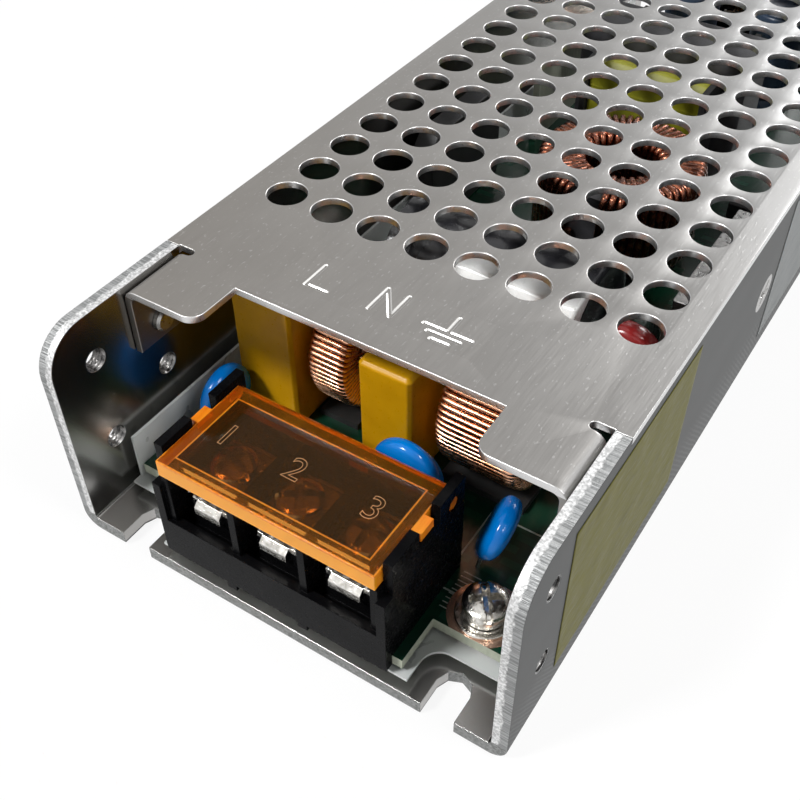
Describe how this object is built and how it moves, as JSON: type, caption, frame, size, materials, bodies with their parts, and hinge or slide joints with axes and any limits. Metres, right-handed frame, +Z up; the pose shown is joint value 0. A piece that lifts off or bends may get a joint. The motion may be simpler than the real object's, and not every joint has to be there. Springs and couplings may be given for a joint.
{
  "type": "mesh case switching power supply",
  "caption": "Slim switching power supply in a folded aluminium case with a perforated cover, screw terminals under amber flaps and fixing slots in its base.",
  "frame": {"origin": "centre of the underside of the case", "axes": "+X across the case to the right as seen from the mains end, +Y from the mains end to the output end, +Z up through the cover"},
  "size_m": [0.0621, 0.17, 0.031],
  "materials": {
    "case_aluminium": "matte grey anodised outside, bright sheared edges",
    "cover_aluminium": "satin grey sheet with bright punched rims",
    "zinc_screw": "zinc-plated steel",
    "nickel_contact": "bright nickel plate",
    "black_moulding": "glossy black moulding",
    "amber_moulding": "clear amber moulding",
    "milky_film": "milky insulating film",
    "green_board": "dark green lacquer over glass fibre",
    "mustard_case": "mustard yellow moulded case",
    "copper_wire": "enamelled copper wire",
    "grey_ferrite": "dark grey ferrite",
    "blue_dip": "glossy blue dipped coat",
    "red_dip": "dark red dipped coat",
    "black_dip": "greenish black dipped coat",
    "white_silicone": "white silicone",
    "black_sleeve": "black shrink sleeve",
    "can_aluminium": "dark sleeve over an aluminium can",
    "yellow_tape": "yellow polyester tape",
    "black_bobbin": "matte black moulding",
    "fuse_glass": "clear glass between plated caps",
    "chip_black": "moulded epoxy",
    "thermal_pad": "grey silicone pad",
    "bar_steel": "plated steel bar",
    "trimmer_blue": "blue moulding",
    "rotor_white": "white moulding",
    "green_lamp": "clear green lens",
    "yellow_label": "olive yellow label",
    "grey_label": "plain grey label"
  },
  "bodies": {
    "root": {"chassis": "case_aluminium", "cover": "cover_aluminium", "cover_screws": "zinc_screw", "device_screws": "zinc_screw", "board_posts": "zinc_screw", "board_screws": "nickel_contact", "earth_flat_washer": "nickel_contact", "earth_spring_washer": "nickel_contact", "insulation_sheet": "milky_film", "circuit_board": "green_board", "film_capacitor_1": "mustard_case", "film_capacitor_2": "mustard_case", "choke_1_core": "grey_ferrite", "choke_1_winding": "copper_wire", "choke_1_base": "black_bobbin", "choke_2_core": "grey_ferrite", "choke_2_winding": "copper_wire", "choke_2_base": "black_bobbin", "disc_capacitors": "blue_dip", "varistor": "red_dip", "inrush_limiter": "black_dip", "silicone_bead": "white_silicone", "fuse": "fuse_glass", "bulk_capacitor": "black_sleeve", "coil_base": "black_bobbin", "coil_core": "grey_ferrite", "coil_winding": "copper_wire", "transformer_core": "grey_ferrite", "transformer_winding": "yellow_tape", "transformer_bobbin": "black_bobbin", "output_capacitors": "can_aluminium", "thermal_pads": "thermal_pad", "transistors": "chip_black", "transistor_clamp_bar": "bar_steel", "rectifiers": "chip_black", "rectifier_clamp_bar": "bar_steel", "bridge_rectifier": "chip_black", "control_board": "green_board", "optocoupler": "chip_black", "trimmer_body": "trimmer_blue", "pilot_lamp": "green_lamp", "yellow_sticker": "yellow_label", "plain_label": "grey_label", "input_terminal_block": "black_moulding", "input_terminal_plates": "nickel_contact", "output_terminal_block": "black_moulding", "output_terminal_plates": "nickel_contact"},
    "input_flap": {"input_terminal_flap": "amber_moulding"},
    "input_clamp_1": {"input_clamp_1": "nickel_contact"},
    "input_screw_1": {"input_screw_1": "nickel_contact"},
    "input_clamp_2": {"input_clamp_2": "nickel_contact"},
    "input_screw_2": {"input_screw_2": "nickel_contact"},
    "input_clamp_3": {"input_clamp_3": "nickel_contact"},
    "input_screw_3": {"input_screw_3": "nickel_contact"},
    "output_flap": {"output_terminal_flap": "amber_moulding"},
    "output_clamp_1": {"output_clamp_1": "nickel_contact"},
    "output_screw_1": {"output_screw_1": "nickel_contact"},
    "output_clamp_2": {"output_clamp_2": "nickel_contact"},
    "output_screw_2": {"output_screw_2": "nickel_contact"},
    "trimmer_rotor": {"trimmer_rotor": "rotor_white"}
  },
  "joints": [
    {"name": "input_flap_hinge", "type": "hinge", "parent": "root", "child": "input_flap", "pos_m": [-0.0004, -0.0711, 0.0194], "axis": [-1, 0, 0], "range_deg": [0, 95]},
    {"name": "input_clamp_1_lift", "type": "slide", "parent": "root", "child": "input_clamp_1", "axis": [0, 0, 1], "range_m": [0, 0.0014]},
    {"name": "input_screw_1_turn", "type": "hinge", "parent": "input_clamp_1", "child": "input_screw_1", "pos_m": [-0.0099, -0.078, 0.0157], "axis": [0, 0, 1], "range_deg": [0, 720]},
    {"name": "input_clamp_2_lift", "type": "slide", "parent": "root", "child": "input_clamp_2", "axis": [0, 0, 1], "range_m": [0, 0.0014]},
    {"name": "input_screw_2_turn", "type": "hinge", "parent": "input_clamp_2", "child": "input_screw_2", "pos_m": [-0.0004, -0.078, 0.0157], "axis": [0, 0, 1], "range_deg": [0, 720]},
    {"name": "input_clamp_3_lift", "type": "slide", "parent": "root", "child": "input_clamp_3", "axis": [0, 0, 1], "range_m": [0, 0.0014]},
    {"name": "input_screw_3_turn", "type": "hinge", "parent": "input_clamp_3", "child": "input_screw_3", "pos_m": [0.0091, -0.078, 0.0157], "axis": [0, 0, 1], "range_deg": [0, 720]},
    {"name": "output_flap_hinge", "type": "hinge", "parent": "root", "child": "output_flap", "pos_m": [0.0004, 0.0711, 0.0194], "axis": [1, 0, 0], "range_deg": [0, 95]},
    {"name": "output_clamp_1_lift", "type": "slide", "parent": "root", "child": "output_clamp_1", "axis": [0, 0, 1], "range_m": [0, 0.0014]},
    {"name": "output_screw_1_turn", "type": "hinge", "parent": "output_clamp_1", "child": "output_screw_1", "pos_m": [0.00515, 0.078, 0.0157], "axis": [0, 0, 1], "range_deg": [0, 720]},
    {"name": "output_clamp_2_lift", "type": "slide", "parent": "root", "child": "output_clamp_2", "axis": [0, 0, 1], "range_m": [0, 0.0014]},
    {"name": "output_screw_2_turn", "type": "hinge", "parent": "output_clamp_2", "child": "output_screw_2", "pos_m": [-0.00435, 0.078, 0.0157], "axis": [0, 0, 1], "range_deg": [0, 720]},
    {"name": "trimmer_turn", "type": "hinge", "parent": "root", "child": "trimmer_rotor", "pos_m": [0.015, 0.0724, 0.0106], "axis": [0, 0, 1], "range_deg": [-135, 135]}
  ],
  "couplings": [
    {"joint": "input_screw_1_turn", "follows": "input_clamp_1_lift", "rad_per_m": 8975.9},
    {"joint": "input_screw_2_turn", "follows": "input_clamp_2_lift", "rad_per_m": 8975.9},
    {"joint": "input_screw_3_turn", "follows": "input_clamp_3_lift", "rad_per_m": 8975.9},
    {"joint": "output_screw_1_turn", "follows": "output_clamp_1_lift", "rad_per_m": 8975.9},
    {"joint": "output_screw_2_turn", "follows": "output_clamp_2_lift", "rad_per_m": 8975.9}
  ]
}
